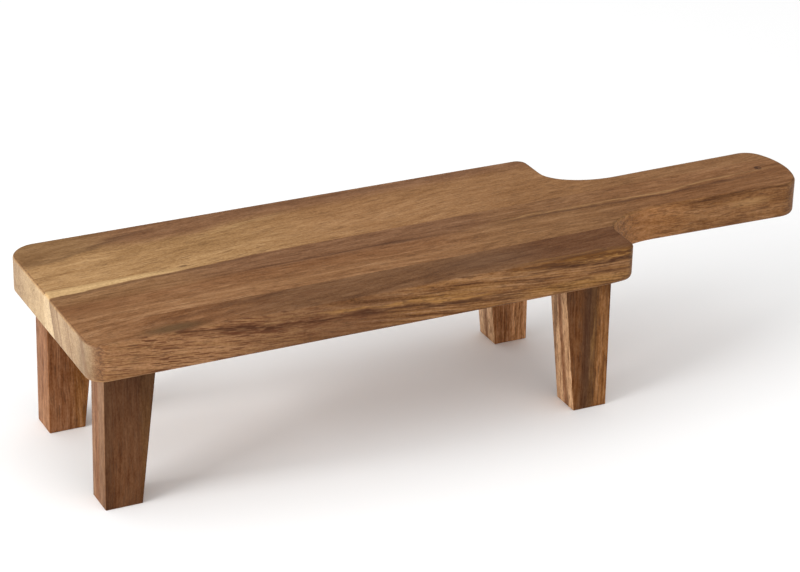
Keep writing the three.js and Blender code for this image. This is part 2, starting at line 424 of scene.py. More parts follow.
def saw_along(blank, line_y, side_sign, size):
    """Saws the blank along a glue line and keeps the back (+1) or the front (-1) of it."""
    across = Vector((-math.sin(size.stave_angle), math.cos(size.stave_angle), 0.0))
    place = Vector((0.0, line_y, 0.0)) + across * (side_sign * size.glue_line / 2)
    cut = bmesh.ops.bisect_plane(
        blank,
        geom=blank.verts[:] + blank.edges[:] + blank.faces[:],
        dist=SAW_TOLERANCE,
        plane_co=place,
        plane_no=across,
        clear_outer=side_sign < 0,
        clear_inner=side_sign > 0,
    )
    rim = [part for part in cut["geom_cut"] if isinstance(part, bmesh.types.BMEdge)]
    if not rim:
        raise RuntimeError("the glue line misses the panel")
    bmesh.ops.contextual_create(blank, geom=rim)


def stave_shape(name, size):
    """One stave: its share of the panel between the glue lines."""
    back_line = BOARD_HIGH.y - size.back_stave_width
    front_line = BOARD_LOW.y + size.front_stave_width
    shape = panel_blank(size)
    if name == "back_stave":
        saw_along(shape, back_line, 1, size)
    elif name == "front_stave":
        saw_along(shape, front_line, -1, size)
    else:
        saw_along(shape, back_line, -1, size)
        saw_along(shape, front_line, 1, size)
    return shape


# Legs and dowels


def leg_shape(node, size):
    """A tapered leg with an almost upright outer face and a sloped inner face, every edge eased."""
    low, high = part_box(node)
    if low.x < 0:
        foot = (low.x, low.x + size.foot_length)
        top = (low.x + size.splay, high.x)
    else:
        foot = (high.x - size.foot_length, high.x)
        top = (low.x, high.x - size.splay)
    rings = []
    for level in range(LEG_LEVELS + 1):
        rise = level / LEG_LEVELS
        left, right = (start + (stop - start) * rise for start, stop in zip(foot, top))
        height = low.z + (high.z - low.z) * rise
        corners = ((left, low.y), (right, low.y), (right, high.y), (left, high.y))
        rings.append([(x, y, height) for x, y in corners])
    shape = skin(rings)
    shape.normal_update()
    edges = [edge for edge in shape.edges if edge.calc_face_angle(0.0) > EASED_FOLD]
    bmesh.ops.bevel(
        shape,
        geom=edges,
        offset=size.ease,
        offset_type="OFFSET",
        segments=EASE_STEPS,
        profile=0.5,
        affect="EDGES",
    )
    return shape


def dowel_shape(node, size):
    """A dowel pin with glue flutes along its side and chamfered ends."""
    low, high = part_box(node)
    middle = (low + high) / 2
    radius = (high.x - low.x) / 2
    count = size.flutes * POINTS_PER_FLUTE
    shank = CHAMFERS_TO_SHANK * size.chamfer
    levels = (
        (low.z, radius - size.chamfer, 0.0),
        (low.z + size.chamfer, radius, size.flute_depth),
        (low.z + shank, radius, size.flute_depth),
        (high.z - shank, radius, size.flute_depth),
        (high.z - size.chamfer, radius, size.flute_depth),
        (high.z, radius - size.chamfer, 0.0),
    )
    rings = []
    for height, reach, depth in levels:
        ring = []
        for place in range(count):
            turn = 2 * math.pi * place / count
            groove = 0.5 - 0.5 * math.cos(turn * size.flutes)
            out = reach - depth * groove
            ring.append((middle.x + out * math.cos(turn), middle.y + out * math.sin(turn), height))
        rings.append(ring)
    return skin(rings)


def dowel_holes(corners, size):
    """The blind holes round the dowels of the given legs, as a shape to cut with."""
    holes = bmesh.new()
    for corner in corners:
        for end in DOWEL_ENDS:
            low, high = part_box(f"{corner}_dowel_{end}")
            radius = (high.x - low.x) / 2 + size.clearance
            circle = arc((low + high) / 2, radius, radius, 0.0, 2 * math.pi, HOLE_SIDES)[:-1]
            heights = (low.z - size.pocket, high.z + size.pocket)
            skin([[(*point, height) for point in circle] for height in heights], holes)
    return holes


def solid(name, shape):
    """A shape as an object in the scene."""
    mesh = bpy.data.meshes.new(name)
    shape.normal_update()
    shape.to_mesh(mesh)
    shape.free()
    piece = bpy.data.objects.new(name, mesh)
    bpy.context.scene.collection.objects.link(piece)
    return piece


def bore(piece, holes):
    """Cuts the dowel holes into a piece."""
    drill = solid("drill", holes)
    cut = piece.modifiers.new("dowel_holes", "BOOLEAN")
    cut.operation = "DIFFERENCE"
    cut.solver = "EXACT"
    cut.object = drill
    whole = piece.data
    bored = piece.evaluated_get(bpy.context.evaluated_depsgraph_get())
    piece.data = bpy.data.meshes.new_from_object(bored)
    piece.modifiers.clear()
    steel = drill.data
    bpy.data.objects.remove(drill)
    bpy.data.meshes.remove(steel)
    bpy.data.meshes.remove(whole)


def set_down(name, shape, finish, node, holes=None):
    """Turns a shape into a piece of the board that stands for one node of the frame."""
    piece = solid(name, shape)
    if holes:
        bore(piece, holes)
    mesh = piece.data
    mesh.name = name
    mesh.shade_smooth()
    mesh.set_sharp_from_angle(angle=SHARP_FOLD)
    mesh.materials.clear()
    mesh.materials.append(finish)
    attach(piece, "root")
    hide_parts(node)


# Finishes


# How far a seed moves uneven growth along each axis
SEED_SHIFT = (1.0, 1.7, 2.3)


class Finish:
    """One finish: adds nodes to a material and joins them up."""

    def __init__(self, name):
        self.material = bpy.data.materials.new(name)
        self.material.use_nodes = True
        self.tree = self.material.node_tree
        self.tree.nodes.clear()

    def add(self, kind, **settings):
        """A new node with its settings."""
        node = self.tree.nodes.new(kind)
        for setting, value in settings.items():
            setattr(node, setting, value)
        return node

    def put(self, socket, value):
        """Joins a socket to a node's output, or sets its number or colour."""
        if isinstance(value, bpy.types.NodeSocket):
            self.tree.links.new(value, socket)
        elif socket.type == "RGBA":
            socket.default_value = (*value, 1.0)
        else:
            socket.default_value = value

    def fill(self, node, values):
        """Puts a value into each of a node's named sockets."""
        for name, value in values.items():
            self.put(node.inputs[name], value)
        return node

    def surface(self, values):
        """Joins the colour and the feel of the wood or the floor to the material."""
        shader = self.fill(self.add("ShaderNodeBsdfPrincipled"), values)
        self.fill(self.add("ShaderNodeOutputMaterial"), {"Surface": shader.outputs[0]})
        return self.material

    def work(self, kind, *values):
        """A sum on one, two or three numbers."""
        node = self.add("ShaderNodeMath", operation=kind)
        for socket, value in zip(node.inputs, values):
            self.put(socket, value)
        return node.outputs[0]

    def plus(self, first, second):
        return self.work("ADD", first, second)

    def minus(self, first, second):
        return self.work("SUBTRACT", first, second)

    def times(self, first, second):
        return self.work("MULTIPLY", first, second)

    def scaled(self, value, factor, start):
        """A value times a factor, counted from a start."""
        return self.work("MULTIPLY_ADD", value, factor, start)

    def stray(self, growth, width):
        """How far uneven growth strays from its middle, over the given width."""
        return self.times(self.minus(growth, 0.5), width)

    def share(self, value, low, high, rise="LINEAR"):
        """Where a value lies between low, 0, and high, 1."""
        node = self.add("ShaderNodeMapRange", interpolation_type=rise)
        return self.fill(node, {"Value": value, "From Min": low, "From Max": high}).outputs["Result"]

    def ease(self, value, low, high):
        """0 up to low, 1 from high on, and a soft rise between. Low may be the greater of the two."""
        return self.share(value, low, high, "SMOOTHSTEP")

    def between(self, value, low, high, soft):
        """1 between low and high, fading out over a soft margin at both."""
        return self.times(
            self.ease(value, low - soft, low + soft), self.ease(value, high + soft, high - soft)
        )

    def stripe(self, value, middle, half, soft):
        """1 within half a width of the middle line, fading out over a soft margin."""
        away = self.work("ABSOLUTE", self.minus(value, middle))
        return self.ease(away, half + soft, max(half - soft, 0.0))

    def oval(self, along, across, middle, radii, soft):
        """1 inside an oval, fading out at its rim."""
        side = self.times(self.minus(along, middle[0]), 1 / radii[0])
        rise = self.times(self.minus(across, middle[1]), 1 / radii[1])
        away = self.work("SQRT", self.plus(self.times(side, side), self.times(rise, rise)))
        return self.ease(away, 1 + soft, 1 - soft)

    def line(self, run, points, low, high):
        """A line drawn through points: its value at each place along the run, between low and high."""
        first = points[0][0]
        last = points[-1][0]
        node = self.add("ShaderNodeFloatCurve")
        curve = node.mapping.curves[0]
        places = []
        for place, value in points:
            places.append(((place - first) / (last - first), (value - low) / (high - low)))
        curve.points[0].location = places[0]
        curve.points[-1].location = places[-1]
        for place in places[1:-1]:
            curve.points.new(*place)
        for point in curve.points:
            point.handle_type = "AUTO_CLAMPED"
        node.mapping.update()
        self.put(node.inputs["Value"], self.share(run, first, last))
        return self.plus(self.times(node.outputs["Value"], high - low), low)

    def vector(self, x, y, z):
        node = self.add("ShaderNodeCombineXYZ")
        return self.fill(node, {"X": x, "Y": y, "Z": z}).outputs[0]

    def parts(self, value):
        return tuple(self.fill(self.add("ShaderNodeSeparateXYZ"), {0: value}).outputs)

    def mottle(self, place, sizes, seed, detail=2.0, rough=0.5, output=0):
        """Soft uneven patches of about the given sizes, 0 to 1."""
        spread = self.add("ShaderNodeMapping")
        scale = [1 / size for size in sizes]
        shift = [seed * factor for factor in SEED_SHIFT]
        self.fill(spread, {"Vector": place, "Scale": scale, "Location": shift})
        node = self.add("ShaderNodeTexNoise")
        settings = {"Vector": spread.outputs[0], "Scale": 1.0, "Detail": detail, "Roughness": rough}
        return self.fill(node, settings).outputs[output]

    def blend(self, share, under, over):
        """One colour laid over another."""
        node = self.add("ShaderNodeMix", data_type="RGBA")
        return self.fill(node, {0: share, 6: under, 7: over}).outputs[2]

    def lay(self, under, over, mask, share):
        """One colour laid over another where a mask is, as strongly as its share."""
        return self.blend(self.times(mask, share), under, over)

    def lit(self, shade, value, hue=0.5, saturation=1.0):
        """A colour made lighter or darker, and shifted in hue or saturation."""
        node = self.add("ShaderNodeHueSaturation")
        settings = {"Hue": hue, "Saturation": saturation, "Value": value, "Color": shade}
        return self.fill(node, settings).outputs[0]


# Marks on the wood, each with the name of its shade and its share, how strongly it shows. A streak runs
# through points, with half its width, a soft margin and a fade at its ends. A spot is an oval round its
# middle. A region eases in along the piece and beside it. Dashes are cut vessels of a reach, with pale
# wood and painted glints between them, as strong as their glow.
Streak = namedtuple("Streak", "shade half soft fade share points")
Spot = namedtuple("Spot", "shade share middle radii soft")
Region = namedtuple("Region", "shade share along beside")
Dashes = namedtuple("Dashes", "dark light share reach glow")

# How strongly the growth shows in a shade: layers, lines, figure, fibres and clouds
Strengths = namedtuple("Strengths", "layers lines figure fibre cloud")
END_FIGURE = Strengths(0.0, 0.0, 0.3, 0.25, 0.4)
SPECK_AMOUNT = 0.34

# How the growth is spread: sizes in millimetres along the grain, across it and through it, what the
# piece's seed is multiplied by, and how detailed and rough it is
Growth = namedtuple("Growth", "along across through seed detail rough")
WANDER = Growth(95.0, 40.0, 40.0, 1, 2.0, 0.5)
LAYERS = Growth(240.0, 5.0, 1.0, 1, 3.0, 0.55)
LINES = Growth(85.0, 1.3, 1.0, 2, 2.0, 0.6)
FIGURE = Growth(17.0, 2.8, 2.8, 6, 2.0, 0.55)
FIBRES = Growth(26.0, 0.8, 0.8, 3, 2.0, 0.6)
PORES = Growth(9.0, 0.62, 0.62, 4, 1.0, 0.4)
SPECKS = Growth(1.7, 0.9, 0.9, 8, 1.0, 0.5)
CLOUDS = Growth(60.0, 16.0, 16.0, 5, 2.0, 0.5)
SWAY_WIDTH = 12.0
DIP_WIDTH = 4.0

# Vessels, rings and pits, which are alike in every piece: their sizes in millimetres and their seeds
VESSEL_WIDTHS = (1.0, 0.55)
VESSEL_SEED = 7.3
RING_SIZES = (4.2, 1.0, 1.0)
RING_SEED = 9.1
PIT_SIZES = (2.2, 1.1, 1.1)
PIT_SEED = 12.7

# Where on its own scale a growth starts to show, and where it shows in full
PORE_EDGE = (0.57, 0.67)
FIBRE_BREAK = (0.36, 0.6)
PALE_DASH_EDGE = (0.42, 0.34)
DARK_DASH_EDGE = (0.61, 0.69)
RING_EDGE = (0.5, 0.64)
PIT_EDGE = (0.5, 0.58)

# How far faces turn: from side to sawn end, from plain to far end and along a worn rim with a painted
# highlight, then the middle, half width and soft margin of the turn at a sawn corner and at the upper and
# lower rounded edges, which carry painted highlights
END_TURN = (0.4, 0.97)
FAR_END_TURN = (-0.1, 0.1)
WORN_HIGHLIGHT_TURN = (0.1, 0.3)
CORNER_TURN = (0.5, 0.2, 0.2)
UPPER_EDGE_TURN = (0.5, 0.2, 0.25)
LOWER_EDGE_TURN = (-0.5, 0.2, 0.25)

# How hue and saturation follow lightness, as a factor and a start, and how strongly the rest shows
HUE_BY_LIGHT = (0.011, 0.489)
SATURATION_BY_LIGHT = (-0.18, 1.18)
RAGGEDNESS = 3
BROKEN_SHARE = 0.6
SOAKED_LOSS = 0.7
CORNER_SHARE = 0.45
STIPPLE_SHARE = 0.7
END_PORE_SHARE = 0.25
WORN_HIGHLIGHT_SHARE = 0.3

# Which way the grain runs: the axes along it, across it and through it
ALONG_BOARD = (0, 1, 2)
UP_LEG = (2, 0, 1)

# The feel of the oiled wood
SATIN_ROUGHNESS = 0.5
FIBRE_DULLNESS = 0.22
PORE_DULLNESS = 0.16
FIBRE_HEIGHT = 0.5
GRAIN_HEIGHT = 0.00012
GRAIN_STRENGTH = 0.5
OIL_IOR = 1.46
OIL_SPECULAR = 0.12


class Grain(Finish):
    """The growth of one piece of wood: layers round the pith, figure, fibres, pores and clouds of tone."""

    def __init__(self, wood, name, axes, pith, seed, skew=0.0, lean=0.0, curl=0.0, span=1.0):
        super().__init__(name)
        self.wood = wood
        self.seed = seed
        in_mm = self.add("ShaderNodeVectorMath", operation="SCALE")
        self.fill(in_mm, {0: self.add("ShaderNodeTexCoord").outputs["Object"], "Scale": TO_MM})
        self.place = self.parts(in_mm.outputs[0])
        self.run, self.across, self.deep = (self.place[axis] for axis in axes)
        straight = self.vector(self.run, self.across, self.deep)
        _, sway, dip = self.parts(self.grown(straight, WANDER, output=1))
        self.sway = self.stray(sway, SWAY_WIDTH * span)
        self.dip = self.stray(dip, DIP_WIDTH * span)
        across = self.plus(self.across, self.plus(self.sway, self.times(self.run, skew)))
        slope = self.scaled(self.run, curl, lean)
        deep = self.plus(self.deep, self.plus(self.dip, self.times(self.run, slope)))
        self.bent = self.vector(self.run, across, deep)
        from_pith = self.vector(self.minus(across, pith[0]), self.minus(deep, pith[1]), 0.0)
        reach = self.fill(self.add("ShaderNodeVectorMath", operation="LENGTH"), {0: from_pith})
        ring = self.vector(self.run, reach.outputs["Value"], seed)
        self.layers = self.grown(ring, LAYERS, span)
        self.lines = self.grown(ring, LINES, span)
        self.figure = self.grown(self.bent, FIGURE, span)
        self.fibre = self.grown(self.bent, FIBRES, span)
        self.pores = self.ease(self.grown(self.bent, PORES), *PORE_EDGE)
        self.speck = self.grown(self.bent, SPECKS)
        self.cloud = self.grown(self.bent, CLOUDS)
        self.facing = self.parts(self.add("ShaderNodeNewGeometry").outputs["Normal"])
        self.end_facing = self.facing[axes[0]]
        self.turned = self.work("ABSOLUTE", self.end_facing)
        self.end = self.ease(self.turned, *END_TURN)

    def grown(self, place, growth, span=1.0, output=0):
        """One kind of growth, drawn out along the grain by the span."""
        sizes = (growth.along * span, growth.across, growth.through)
        seed = growth.seed * self.seed
        return self.mottle(place, sizes, seed, growth.detail, growth.rough, output)

    def shade(self, name):
        """The colour of the wood with the given name."""
        return getattr(self.wood, name)

    def bands(self, value, stops):
        """Colours that pass into each other from the first stop to the last."""
        low = stops[0][0]
        high = stops[-1][0]
        node = self.add("ShaderNodeValToRGB")
        ramp = node.color_ramp
        ramp.interpolation = "EASE"
        while len(ramp.elements) < len(stops):
            ramp.elements.new(0.5)
        for element, (place, name) in zip(ramp.elements, stops):
            element.position = (place - low) / (high - low)
            element.color = (*self.shade(name), 1.0)
        self.put(node.inputs[0], self.share(value, low, high))
        return node.outputs["Color"]

    def shaded(self, shade, figure):
        """A colour made lighter and yellower or darker and redder by the growth."""
        growths = (self.layers, self.lines, self.figure, self.fibre, self.cloud, self.speck)
        value = 1.0
        for growth, strength in zip(growths, (*figure, SPECK_AMOUNT)):
            value = self.plus(value, self.stray(growth, 2 * strength))
        hue = self.scaled(value, *HUE_BY_LIGHT)
        return self.lit(shade, value, hue, self.scaled(value, *SATURATION_BY_LIGHT))

    def streaks(self, body, value, marks):
        """Lays long thin streaks of other shades, ragged with the fibres, each along its line."""
        for mark in marks:
            half, soft, points = mark.half, mark.soft, mark.points
            values = [point[1] for point in points]
            line = self.line(self.run, points, min(values) - 1, max(values) + 1)
            ragged = self.stray(self.figure, RAGGEDNESS * (half + soft))
            stripe = self.stripe(self.plus(self.minus(value, line), ragged), 0.0, half, soft)
            fade = mark.fade / 2
            ends = self.between(self.run, points[0][0] + fade, points[-1][0] - fade, fade)
            gaps = BROKEN_SHARE * mark.share
            broken = self.scaled(self.ease(self.fibre, *FIBRE_BREAK), gaps, mark.share - gaps)
            body = self.lay(body, self.shade(mark.shade), self.times(stripe, ends), broken)
        return body

    def spots(self, body, across, marks, within=1.0):
        """Lays oval spots of other shades, within a part of the piece."""
        for mark in marks:
            oval = self.oval(self.run, across, mark.middle, mark.radii, mark.soft)
            body = self.lay(body, self.shade(mark.shade), self.times(oval, within), mark.share)
        return body

    def regions(self, body, value, marks):
        """Lays other shades over whole regions of the piece."""
        for mark in marks:
            region = self.times(self.ease(self.run, *mark.along), self.ease(value, *mark.beside))
            body = self.lay(body, self.shade(mark.shade), region, mark.share)
        return body

    def pored(self, body, shade, share):
        """Dark open pores, short and thin along the grain."""
        return self.lay(body, shade, self.pores, share)

    def dashed(self, body, mask, dashes):
        """Open vessels cut lengthwise on an upright side: thin dark dashes with pale wood and painted
        glints between.
        """
        share = self.times(mask, dashes.share)
        _, _, depth = self.parts(self.bent)
        place = self.vector(self.run, 0.0, depth)
        vessels = self.mottle(place, (dashes.reach, *VESSEL_WIDTHS), VESSEL_SEED, 0.0, 0.5)
        # Painted glints: pale dashes between the vessels, partly paler wood
        pale = self.times(share, dashes.glow)
        body = self.lay(body, self.shade(dashes.light), self.ease(vessels, *PALE_DASH_EDGE), pale)
        return self.lay(body, self.shade(dashes.dark), self.ease(vessels, *DARK_DASH_EDGE), share)

    def sawn(self, body, plain, soaked, corner_shade, slope, ring_share):
        """Paler wood where the saw cut across the grain, dark with oil at the far end, with its rings."""
        dark = self.wood.end_ring
        ring_place = self.minus(self.across, self.times(self.deep, slope))
        rings = self.mottle(self.vector(ring_place, 0.0, 0.0), RING_SIZES, RING_SEED, 4.0, 0.6)
        side = self.ease(self.end_facing, *FAR_END_TURN)
        ends = self.shaded(self.blend(side, plain, soaked), END_FIGURE)
        strength = self.scaled(side, -SOAKED_LOSS * ring_share, ring_share)
        ends = self.lay(ends, dark, self.ease(rings, *RING_EDGE), strength)
        body = self.blend(self.end, body, ends)
        pits = self.mottle(self.bent, PIT_SIZES, PIT_SEED, 1.0, 0.5)
        corner = self.stripe(self.turned, *CORNER_TURN)
        body = self.lay(body, corner_shade, corner, self.scaled(side, -CORNER_SHARE, CORNER_SHARE))
        stipple = self.times(corner, self.ease(pits, *PIT_EDGE))
        body = self.lay(body, corner_shade, stipple, STIPPLE_SHARE)
        return self.pored(body, dark, END_PORE_SHARE)

    def worn(self, body, shade):
        """Painted highlight and wear: paler wood along the rounded upper edges of the sawn ends and the
        neck.
        """
        edge = self.stripe(self.facing[2], *UPPER_EDGE_TURN)
        rim = self.times(edge, self.ease(self.turned, *WORN_HIGHLIGHT_TURN))
        return self.lay(body, shade, rim, WORN_HIGHLIGHT_SHARE)

    def oiled(self, shade, roughness=SATIN_ROUGHNESS, grain_height=GRAIN_HEIGHT):
        """Joins a colour to an oiled, satin surface with the pores and fibres felt in it."""
        height = self.minus(self.times(self.fibre, FIBRE_HEIGHT), self.pores)
        bump = self.add("ShaderNodeBump")
        self.fill(bump, {"Strength": GRAIN_STRENGTH, "Distance": grain_height, "Height": height})
        dull = self.plus(roughness, self.stray(self.fibre, FIBRE_DULLNESS))
        return self.surface(
            {
                "Base Color": shade,
                "Roughness": self.plus(dull, self.times(self.pores, PORE_DULLNESS)),
                "IOR": OIL_IOR,
                "Specular IOR Level": OIL_SPECULAR,
                "Normal": bump.outputs[0],
            }
        )


# The back stave: places along the board, then across it
BACK_TONES = (
    (-240, "honey"), (-140, "honey"), (-30, "tan"), (90, "amber"), (150, "handle_tan"), (240, "handle_tan")
)
BACK_END_TONES = ((-6, "pale_end"), (28, "pale_end"), (48, "end_grain"))
BACK_FIGURE = Strengths(0.25, 0.18, 0.36, 0.18, 0.3)
FAR_BAND_FIGURE = Strengths(0.35, 0.2, 0.5, 0.22, 0.3)
FAR_BAND_EDGE = (
    (-242, 37), (-215, 43), (-198, 48), (-175, 47), (-135, 46), (-112, 51), (-80, 53), (0, 57), (96, 60)
)
FAR_CORNER_LINE = Streak(
    "streak", 1.6, 3.4, 30, 0.5,
    ((-250, 41), (-222, 42.5), (-208, 47), (-195, 51), (-184, 57), (-160, 60), (-138, 61)),
)
FAR_LINE = Streak("streak", 1.4, 2.6, 50, 0.3, ((-150, 62), (-100, 64), (-40, 65), (20, 65.5), (92, 66)))
PALE_FEATHER = Streak(
    "sapwood", 0.6, 2.0, 25, 0.3, ((-138, 40), (-118, 44), (-100, 49), (-85, 52), (-66, 54))
)
BACK_FLECK = Spot("streak", 0.75, (-156, 7.3), (2.4, 0.8), 0.5)
BACK_GLUE_LINE = ((-243, 3.8), (-120, 5.9))


def back_stave_finish(wood):
    """Clear honey tan with a brown band along the far edge, redder towards the handle."""
    stave = Grain(wood, "back_stave_oiled", ALONG_BOARD, pith=(70.0, -60.0), seed=3.1, skew=-0.1, lean=0.01)
    run, across = stave.run, stave.across
    swayed = stave.plus(across, stave.times(stave.sway, 0.4))
    body = stave.shaded(stave.bands(run, BACK_TONES), BACK_FIGURE)
    past_edge = stave.minus(swayed, stave.line(run, FAR_BAND_EDGE, 30, 75))
    past_edge = stave.plus(past_edge, stave.stray(stave.figure, 8.0))
    brown = stave.blend(stave.ease(run, -205, -165), wood.far_olive, wood.far_brown)
    body = stave.lay(body, stave.shaded(brown, FAR_BAND_FIGURE), stave.ease(past_edge, -6.0, 7.0), 0.9)
    body = stave.streaks(body, swayed, (FAR_CORNER_LINE, FAR_LINE, PALE_FEATHER))
    beside_glue = stave.ease(stave.minus(across, stave.line(run, BACK_GLUE_LINE, 3, 8)), 2.8, 0.2)
    body = stave.lay(body, wood.sapwood, stave.times(beside_glue, stave.ease(run, -140, -185)), 0.8)
    body = stave.spots(body, across, (BACK_FLECK,))
    body = stave.pored(body, wood.pore, 0.24)
    plain_end = stave.bands(across, BACK_END_TONES)
    body = stave.sawn(body, plain_end, wood.handle_end, wood.corner_grey, -0.25, 0.2)
    # Painted highlight, with some wear, along the rounded upper edges of the sawn ends
    return stave.oiled(stave.worn(body, wood.honey))


# The centre stave: places along the board, then across it
CENTRE_TONES = ((-48, "rose_tan"), (-32, "rose_tan"), (-18, "russet"), (-8, "plum"), (10, "plum"))
CENTRE_FIGURE = Strengths(0.5, 0.22, 0.5, 0.14, 0.3)
CENTRE_REGIONS = (
    Region("fawn", 0.85, (-120, -190), (-22, -12)),
    Region("side_brown", 0.9, (10, 50), (-20, -12)),
    Region("fawn", 0.7, (-20, 40), (-4, -16)),
)
RED_CORNER = Spot("russet", 0.5, (-230, -24), (22, 7), 0.6)
ROSE_BAND = Streak("tan", 2.5, 3.5, 40, 0.3, ((-200, -37), (-120, -36), (-60, -35), (0, -34), (92, -33)))
MIDDLE_LINE = Streak(
    "streak", 0.6, 1.0, 60, 0.75,
    ((-150, -12.5), (-110, -11.6), (-70, -10.6), (-40, -10.2), (-10, -11.2), (24, -14)),
)
RIDGE_SHADE = Streak(
    "streak", 0.8, 1.0, 40, 0.7,
    ((14, -11.6), (53, -10.2), (72, -9.4), (100, -10.6), (146, -11.4), (178, -8.8), (230, -6)),
)
RIDGE_LINE = Streak(
    "honey", 0.7, 0.8, 40, 1.0,
    (
        (22, -9), (46, -7.6), (64, -6.5), (92, -7), (114, -7.1), (146, -7.8), (166, -5.4), (189, -2.7),
        (250, -0.6),
    ),
)
KNOT_RIM = Spot("russet", 0.35, (221.8, 1.2), (4.4, 2.9), 0.5)
PIN_KNOT = Spot("streak", 0.95, (221.8, 1.2), (2.3, 2.4), 0.3)
KNOT_HEART = Spot("handle_brown", 0.75, (222.5, 0.6), (0.9, 0.9), 0.4)

# The handle's front side: places along the board, then up from the floor
PALE_OVAL = Spot("honey", 0.5, (199, 99.5), (13, 2.4), 0.6)
DARK_PATCH = Spot("umber", 0.5, (191, 87), (13, 3.2), 0.6)
HANDLE_DASHES = Dashes("streak", "honey", 0.42, 6.0, 0.3)
HANDLE_ARRIS = Streak(
    "streak", 0.8, 0.9, 30, 0.85, ((140, 104.6), (170, 105.6), (200, 106.2), (222, 106.6), (262, 106.8))
)

# The cream wedge at the plain end, and how far it widens from the top of the stave down to its underside
WEDGE_TONES = ((-240, "sapwood"), (-190, "sapwood"), (-138, "honey"), (-120, "honey"))
WEDGE_FIGURE = Strengths(0.15, 0.1, 0.25, 0.2, 0.1)
WEDGE_LINE = (
    (-243, -4), (-228, -2.9), (-215, -1.7), (-200, -0.2), (-185, 1.2), (-155, 2.5), (-140, 3.5),
    (-125, 4.7), (-108, 6.6),
)
WEDGE_DOWN = 0.42


def cream_wedge(stave, body):
    """Lays the cream sapwood wedge with its dark rim over the plain end of the centre stave."""
    wood, run = stave.wood, stave.run
    drop = stave.times(stave.minus(stave.deep, PANEL_HIGH.z * TO_MM), WEDGE_DOWN)
    edge = stave.plus(stave.line(run, WEDGE_LINE, -6, 8), drop)
    inside = stave.minus(stave.plus(stave.across, stave.times(stave.sway, 0.05)), edge)
    inside = stave.plus(inside, stave.stray(stave.figure, stave.scaled(stave.end, -1.9, 2.4)))
    near_end = stave.ease(run, -96, -128)
    rim = stave.times(stave.stripe(inside, -1.8, 0.8, 1.8), near_end)
    body = stave.lay(body, wood.streak, rim, 0.36)
    cream = stave.blend(stave.end, stave.bands(run, WEDGE_TONES), wood.sawn_sapwood)
    return stave.lay(body, stave.shaded(cream, WEDGE_FIGURE), stave.ease(inside, -0.7, 0.9), near_end)


def centre_stave_finish(wood):
    """Purple brown and rose tan, with the cream sapwood wedge and the pin knot near the tip."""
    stave = Grain(
        wood, "centre_stave_oiled", ALONG_BOARD, pith=(-150.0, 175.0), seed=5.3, skew=-0.025, lean=0.012
    )
    run, across, deep = stave.run, stave.across, stave.deep
    swayed = stave.plus(across, stave.times(stave.sway, 0.35))
    body = stave.regions(stave.bands(swayed, CENTRE_TONES), swayed, CENTRE_REGIONS)
    body = stave.blend(stave.ease(run, 80, 150), body, wood.handle_brown)
    handle_side = stave.times(stave.ease(stave.facing[1], -0.1, -0.35), stave.ease(run, 120, 140))
    body = stave.shaded(stave.lay(body, wood.handle_tan, handle_side, 0.55), CENTRE_FIGURE)
    body = stave.spots(body, swayed, (RED_CORNER,))
    body = stave.streaks(body, swayed, (ROSE_BAND, MIDDLE_LINE))
    straight = stave.plus(across, stave.times(stave.sway, 0.1))
    body = stave.streaks(body, straight, (RIDGE_SHADE, RIDGE_LINE))
    body = stave.spots(body, deep, (PALE_OVAL, DARK_PATCH), handle_side)
    body = stave.dashed(body, handle_side, HANDLE_DASHES)
    body = stave.blend(handle_side, body, stave.streaks(body, deep, (HANDLE_ARRIS,)))
    body = stave.spots(body, across, (KNOT_RIM, PIN_KNOT, KNOT_HEART))
    body = stave.pored(body, wood.pore, 0.32)
    body = stave.sawn(body, wood.end_grain, wood.handle_end, wood.corner_grey, WEDGE_DOWN, 0.5)
    # Painted light: the walls of the neck are made lighter where the shoulder shades them from the key
    # light
    painted_neck_light = stave.times(stave.ease(stave.facing[2], 0.6, 0.2), stave.between(run, 100, 150, 16))
    body = stave.lit(body, stave.scaled(painted_neck_light, 0.4, 1.0))
    # Painted highlight, with some wear, along the rounded upper edges of the sawn ends and the neck
    return stave.oiled(cream_wedge(stave, stave.worn(body, wood.honey)))


# The top of the front stave: places along the board, then across it
FRONT_TOP_TONES = (
    (-240, "rose_tan"), (-180, "russet"), (-110, "bronze"), (0, "bronze"), (50, "umber"), (95, "umber")
)
FRONT_END_TONES = ((-68, "end_dusk"), (-58, "end_dusk"), (-46, "end_grain"))
FRONT_TOP_FIGURE = Strengths(0.4, 0.2, 0.55, 0.18, 0.35)
CORNER_STREAK = Streak(
    "streak", 1.0, 2.4, 40, 0.42, ((-225, -60), (-190, -55.5), (-150, -49.5), (-120, -46.5), (-92, -44))
)
EDGE_STREAK = Streak(
    "umber", 2.0, 3.0, 40, 0.6, ((-215, -66), (-190, -64), (-150, -58), (-110, -54), (-60, -50))
)
EDGE_GOLD = Streak("gold", 1.0, 1.6, 20, 0.3, ((8, -67), (40, -67.4), (96, -67.6)))
OLIVE_PATCH = Spot("moss", 0.8, (-190, -65), (16, 4.6), 0.7)
SLATE_PATCH = Spot("slate", 0.35, (6, -54), (30, 8), 0.7)

